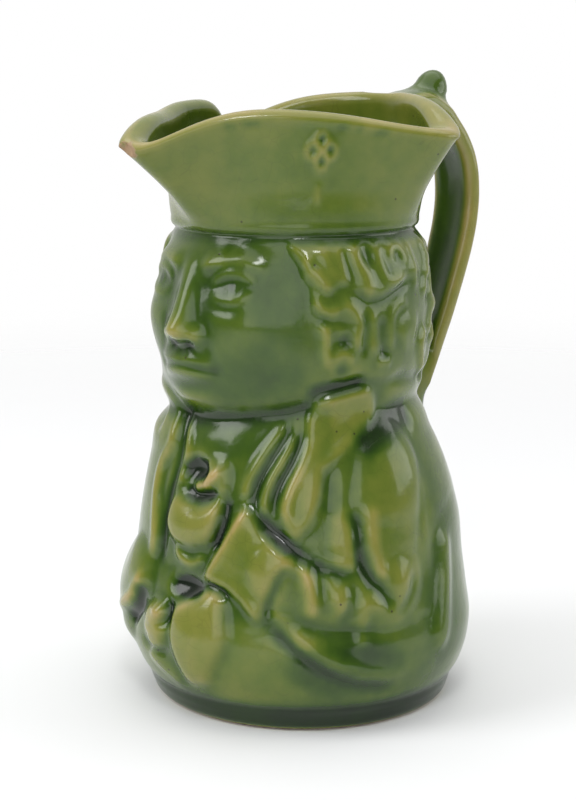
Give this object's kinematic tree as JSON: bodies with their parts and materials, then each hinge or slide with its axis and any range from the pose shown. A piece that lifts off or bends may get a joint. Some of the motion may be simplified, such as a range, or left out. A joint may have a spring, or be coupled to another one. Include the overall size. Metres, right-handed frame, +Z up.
{
  "type": "toby jug",
  "caption": "Hollow glazed jug shaped as a seated man in a tricorn hat, with a pouring corner in the hat and a strap handle behind.",
  "frame": {"origin": "centre of the flat unglazed foot, on the table", "axes": "+Z up, the man faces -Y and pours that way, his left hand is on the +X side, the handle is at +Y"},
  "size_m": [0.097, 0.1238, 0.1698],
  "materials": {
    "glazed_earthenware": "glossy translucent green lead glaze, pooled dark in the hollows and thin and tan on the ridges, finely crazed"
  },
  "bodies": {
    "root": {"jug": "glazed_earthenware"}
  },
  "joints": []
}
